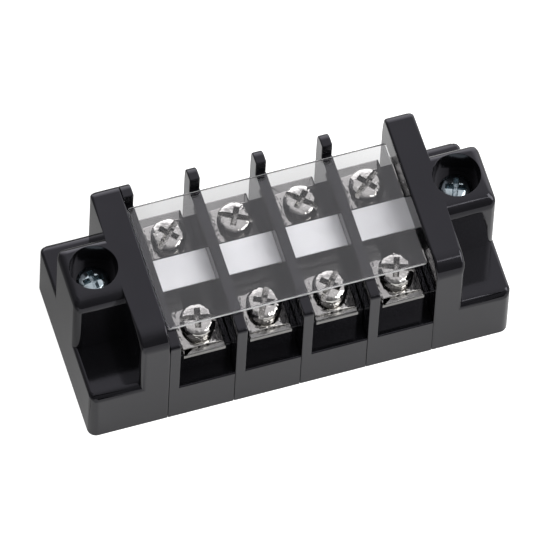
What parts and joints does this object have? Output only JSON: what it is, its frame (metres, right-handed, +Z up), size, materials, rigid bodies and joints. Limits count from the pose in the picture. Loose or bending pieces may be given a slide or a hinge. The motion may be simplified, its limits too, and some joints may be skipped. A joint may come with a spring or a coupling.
{
  "type": "terminal block",
  "caption": "Black barrier terminal block with end mounting ears, clamp screws on nickel-plated bus bars, white marker strips and a clear lift-off cover, for joining wires.",
  "frame": {"origin": "under the middle of the block, on the plane it stands on", "axes": "+X along the row of poles, +Y to the rear, where the barrier nubs are, +Z up"},
  "size_m": [0.0954, 0.04, 0.036],
  "materials": {
    "black_plastic": "satin moulded",
    "nickel_bar": "nickel plated",
    "nickel_clamp": "nickel plated",
    "nickel_screw": "nickel plated",
    "zinc_screw": "bright zinc plated",
    "white_marker": "matte",
    "clear_cover": "clear"
  },
  "bodies": {
    "block": {"end_bracket_left": "black_plastic", "end_bracket_right": "black_plastic", "pole_1": "black_plastic", "pole_2": "black_plastic", "pole_3": "black_plastic", "pole_4": "black_plastic", "bus_bar_1": "nickel_bar", "bus_bar_2": "nickel_bar", "bus_bar_3": "nickel_bar", "bus_bar_4": "nickel_bar", "marker_1": "white_marker", "marker_2": "white_marker", "marker_3": "white_marker", "marker_4": "white_marker", "mounting_screw_left": "zinc_screw", "mounting_screw_right": "zinc_screw"},
    "cover": {"cover": "clear_cover"},
    "clamp_front_1": {"clamp_plate_front_1": "nickel_clamp", "lock_washer_front_1": "nickel_clamp"},
    "screw_front_1": {"terminal_screw_front_1": "nickel_screw"},
    "clamp_front_2": {"clamp_plate_front_2": "nickel_clamp", "lock_washer_front_2": "nickel_clamp"},
    "screw_front_2": {"terminal_screw_front_2": "nickel_screw"},
    "clamp_front_3": {"clamp_plate_front_3": "nickel_clamp", "lock_washer_front_3": "nickel_clamp"},
    "screw_front_3": {"terminal_screw_front_3": "nickel_screw"},
    "clamp_front_4": {"clamp_plate_front_4": "nickel_clamp", "lock_washer_front_4": "nickel_clamp"},
    "screw_front_4": {"terminal_screw_front_4": "nickel_screw"},
    "clamp_rear_1": {"clamp_plate_rear_1": "nickel_clamp", "lock_washer_rear_1": "nickel_clamp"},
    "screw_rear_1": {"terminal_screw_rear_1": "nickel_screw"},
    "clamp_rear_2": {"clamp_plate_rear_2": "nickel_clamp", "lock_washer_rear_2": "nickel_clamp"},
    "screw_rear_2": {"terminal_screw_rear_2": "nickel_screw"},
    "clamp_rear_3": {"clamp_plate_rear_3": "nickel_clamp", "lock_washer_rear_3": "nickel_clamp"},
    "screw_rear_3": {"terminal_screw_rear_3": "nickel_screw"},
    "clamp_rear_4": {"clamp_plate_rear_4": "nickel_clamp", "lock_washer_rear_4": "nickel_clamp"},
    "screw_rear_4": {"terminal_screw_rear_4": "nickel_screw"}
  },
  "joints": [
    {"name": "cover_lift", "type": "slide", "parent": "block", "child": "cover", "axis": [0, 0, 1], "range_m": [0, 0.03]},
    {"name": "clamp_front_1_rise", "type": "slide", "parent": "block", "child": "clamp_front_1", "axis": [0, 0, 1], "range_m": [0, 0.0028]},
    {"name": "screw_front_1_turn", "type": "hinge", "parent": "clamp_front_1", "child": "screw_front_1", "pos_m": [-0.0213, -0.01141, 0.0232], "axis": [0, 0, 1], "range_deg": [0, 1440]},
    {"name": "clamp_front_2_rise", "type": "slide", "parent": "block", "child": "clamp_front_2", "axis": [0, 0, 1], "range_m": [0, 0.0028]},
    {"name": "screw_front_2_turn", "type": "hinge", "parent": "clamp_front_2", "child": "screw_front_2", "pos_m": [-0.0063, -0.01141, 0.0232], "axis": [0, 0, 1], "range_deg": [0, 1440]},
    {"name": "clamp_front_3_rise", "type": "slide", "parent": "block", "child": "clamp_front_3", "axis": [0, 0, 1], "range_m": [0, 0.0028]},
    {"name": "screw_front_3_turn", "type": "hinge", "parent": "clamp_front_3", "child": "screw_front_3", "pos_m": [0.0087, -0.01141, 0.0232], "axis": [0, 0, 1], "range_deg": [0, 1440]},
    {"name": "clamp_front_4_rise", "type": "slide", "parent": "block", "child": "clamp_front_4", "axis": [0, 0, 1], "range_m": [0, 0.0028]},
    {"name": "screw_front_4_turn", "type": "hinge", "parent": "clamp_front_4", "child": "screw_front_4", "pos_m": [0.0237, -0.01141, 0.0232], "axis": [0, 0, 1], "range_deg": [0, 1440]},
    {"name": "clamp_rear_1_rise", "type": "slide", "parent": "block", "child": "clamp_rear_1", "axis": [0, 0, 1], "range_m": [0, 0.0028]},
    {"name": "screw_rear_1_turn", "type": "hinge", "parent": "clamp_rear_1", "child": "screw_rear_1", "pos_m": [-0.0213, 0.01022, 0.0232], "axis": [0, 0, 1], "range_deg": [0, 1440]},
    {"name": "clamp_rear_2_rise", "type": "slide", "parent": "block", "child": "clamp_rear_2", "axis": [0, 0, 1], "range_m": [0, 0.0028]},
    {"name": "screw_rear_2_turn", "type": "hinge", "parent": "clamp_rear_2", "child": "screw_rear_2", "pos_m": [-0.0063, 0.01022, 0.0232], "axis": [0, 0, 1], "range_deg": [0, 1440]},
    {"name": "clamp_rear_3_rise", "type": "slide", "parent": "block", "child": "clamp_rear_3", "axis": [0, 0, 1], "range_m": [0, 0.0028]},
    {"name": "screw_rear_3_turn", "type": "hinge", "parent": "clamp_rear_3", "child": "screw_rear_3", "pos_m": [0.0087, 0.01022, 0.0232], "axis": [0, 0, 1], "range_deg": [0, 1440]},
    {"name": "clamp_rear_4_rise", "type": "slide", "parent": "block", "child": "clamp_rear_4", "axis": [0, 0, 1], "range_m": [0, 0.0028]},
    {"name": "screw_rear_4_turn", "type": "hinge", "parent": "clamp_rear_4", "child": "screw_rear_4", "pos_m": [0.0237, 0.01022, 0.0232], "axis": [0, 0, 1], "range_deg": [0, 1440]}
  ],
  "couplings": [
    {"joint": "screw_front_1_turn", "follows": "clamp_front_1_rise", "rad_per_m": 8976},
    {"joint": "screw_front_2_turn", "follows": "clamp_front_2_rise", "rad_per_m": 8976},
    {"joint": "screw_front_3_turn", "follows": "clamp_front_3_rise", "rad_per_m": 8976},
    {"joint": "screw_front_4_turn", "follows": "clamp_front_4_rise", "rad_per_m": 8976},
    {"joint": "screw_rear_1_turn", "follows": "clamp_rear_1_rise", "rad_per_m": 8976},
    {"joint": "screw_rear_2_turn", "follows": "clamp_rear_2_rise", "rad_per_m": 8976},
    {"joint": "screw_rear_3_turn", "follows": "clamp_rear_3_rise", "rad_per_m": 8976},
    {"joint": "screw_rear_4_turn", "follows": "clamp_rear_4_rise", "rad_per_m": 8976}
  ]
}
